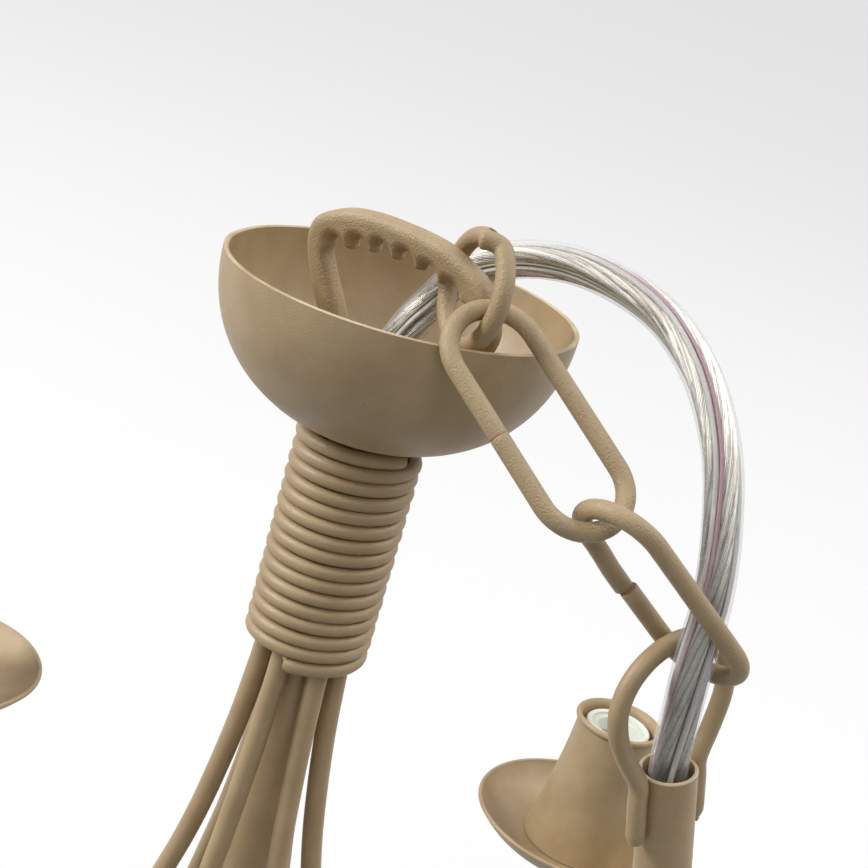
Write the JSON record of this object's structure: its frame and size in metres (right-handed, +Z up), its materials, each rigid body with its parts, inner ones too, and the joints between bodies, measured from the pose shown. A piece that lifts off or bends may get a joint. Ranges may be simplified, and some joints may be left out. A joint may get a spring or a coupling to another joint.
{
  "type": "chandelier",
  "caption": "Candle-style chandelier with bent wire arms from a coil-bound stem under an open bowl, hung by a hanger, ring, links and a tube with a canopy.",
  "frame": {"origin": "on the body's axis, at the height of the arms' lowest bends, which it stands on", "axes": "+Z up along the coil and the central tube, +Y away from the viewer of the picture, +X to the viewer's right"},
  "size_m": [0.4934, 0.4514, 0.3006],
  "materials": {
    "coated_steel": "fine textured powder coat",
    "lampholder_plastic": "satin off-white",
    "clear_flex": "clear jacket over tinned strands",
    "zinc_steel": "zinc plated",
    "grip_plastic": "matte"
  },
  "bodies": {
    "body": {"central_tube": "coated_steel", "binding_coil": "coated_steel", "bowl": "coated_steel", "bowl_nut": "zinc_steel", "hanger": "coated_steel", "cord_grip": "grip_plastic", "bottom_nut": "coated_steel", "finial": "coated_steel", "flex": "clear_flex", "arm_1": "coated_steel", "arm_2": "coated_steel", "arm_3": "coated_steel", "arm_4": "coated_steel", "arm_5": "coated_steel", "arm_6": "coated_steel", "saucer_1": "coated_steel", "saucer_2": "coated_steel", "saucer_3": "coated_steel", "saucer_4": "coated_steel", "saucer_5": "coated_steel", "saucer_6": "coated_steel", "candle_cup_1": "coated_steel", "candle_cup_2": "coated_steel", "candle_cup_3": "coated_steel", "candle_cup_4": "coated_steel", "candle_cup_5": "coated_steel", "candle_cup_6": "coated_steel", "lampholder_1": "lampholder_plastic", "lampholder_2": "lampholder_plastic", "lampholder_3": "lampholder_plastic", "lampholder_4": "lampholder_plastic", "lampholder_5": "lampholder_plastic", "lampholder_6": "lampholder_plastic"},
    "suspension": {"stem_tube": "coated_steel", "stem_bail": "coated_steel", "mounting_bar": "zinc_steel", "bar_nut": "zinc_steel"},
    "ring": {"c_ring": "coated_steel"},
    "link_1": {"chain_link_1": "coated_steel"},
    "link_2": {"chain_link_2": "coated_steel"},
    "canopy": {"ceiling_canopy": "coated_steel", "canopy_collar": "coated_steel", "set_screw": "zinc_steel"}
  },
  "joints": [
    {"name": "suspension_swing", "type": "hinge", "parent": "body", "child": "suspension", "pos_m": [0.01265, -0.02054, 0.28922], "axis": [-0.8818, -0.4669, 0.066], "range_deg": [0, 40], "deforming": ["flex"]},
    {"name": "ring_turn", "type": "hinge", "parent": "suspension", "child": "ring", "pos_m": [0.01265, -0.02054, 0.28922], "axis": [-0.8818, -0.4669, 0.066], "range_deg": [-20, 20]},
    {"name": "link_1_twist", "type": "hinge", "parent": "suspension", "child": "link_1", "pos_m": [0.02834, -0.03618, 0.27491], "axis": [0.7252, -0.4031, -0.5582], "range_deg": [-3, 3]},
    {"name": "link_2_twist", "type": "hinge", "parent": "suspension", "child": "link_2", "pos_m": [0.05633, -0.04034, 0.2529], "axis": [0.6999, 0.309, -0.6439], "range_deg": [-3, 3]},
    {"name": "canopy_slide", "type": "slide", "parent": "suspension", "child": "canopy", "axis": [-0.2541, -0.124, 0.9592], "range_m": [0, 0.04]}
  ]
}
